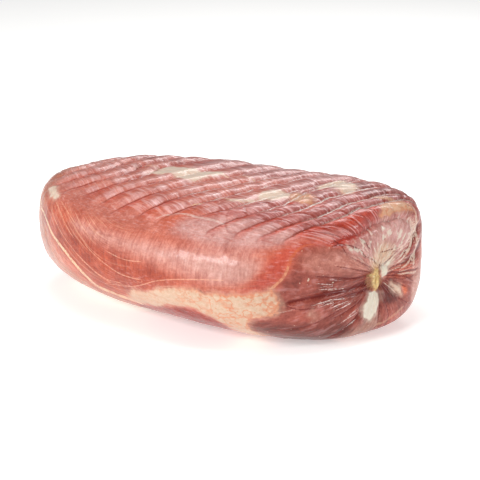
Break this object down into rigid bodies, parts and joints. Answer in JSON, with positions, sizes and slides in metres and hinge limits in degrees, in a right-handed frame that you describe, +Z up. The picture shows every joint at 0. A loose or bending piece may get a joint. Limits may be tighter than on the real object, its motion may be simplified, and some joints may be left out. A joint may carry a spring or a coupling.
{
  "type": "boneless prosciutto",
  "caption": "Whole boneless cured ham pressed into a flat-topped loaf, with netting marks across its top and one end drawn together into a pleated knot.",
  "frame": {"origin": "middle of the resting box, on the surface the ham rests on", "axes": "+X along the ham towards its drawn end, +Y towards its flatter back side, +Z up through the netted top"},
  "size_m": [0.369, 0.2266, 0.1255],
  "materials": {
    "cured_meat": "moist cured lean meat with cream fat, soft shine"
  },
  "bodies": {
    "root": {"ham": "cured_meat"}
  },
  "joints": []
}
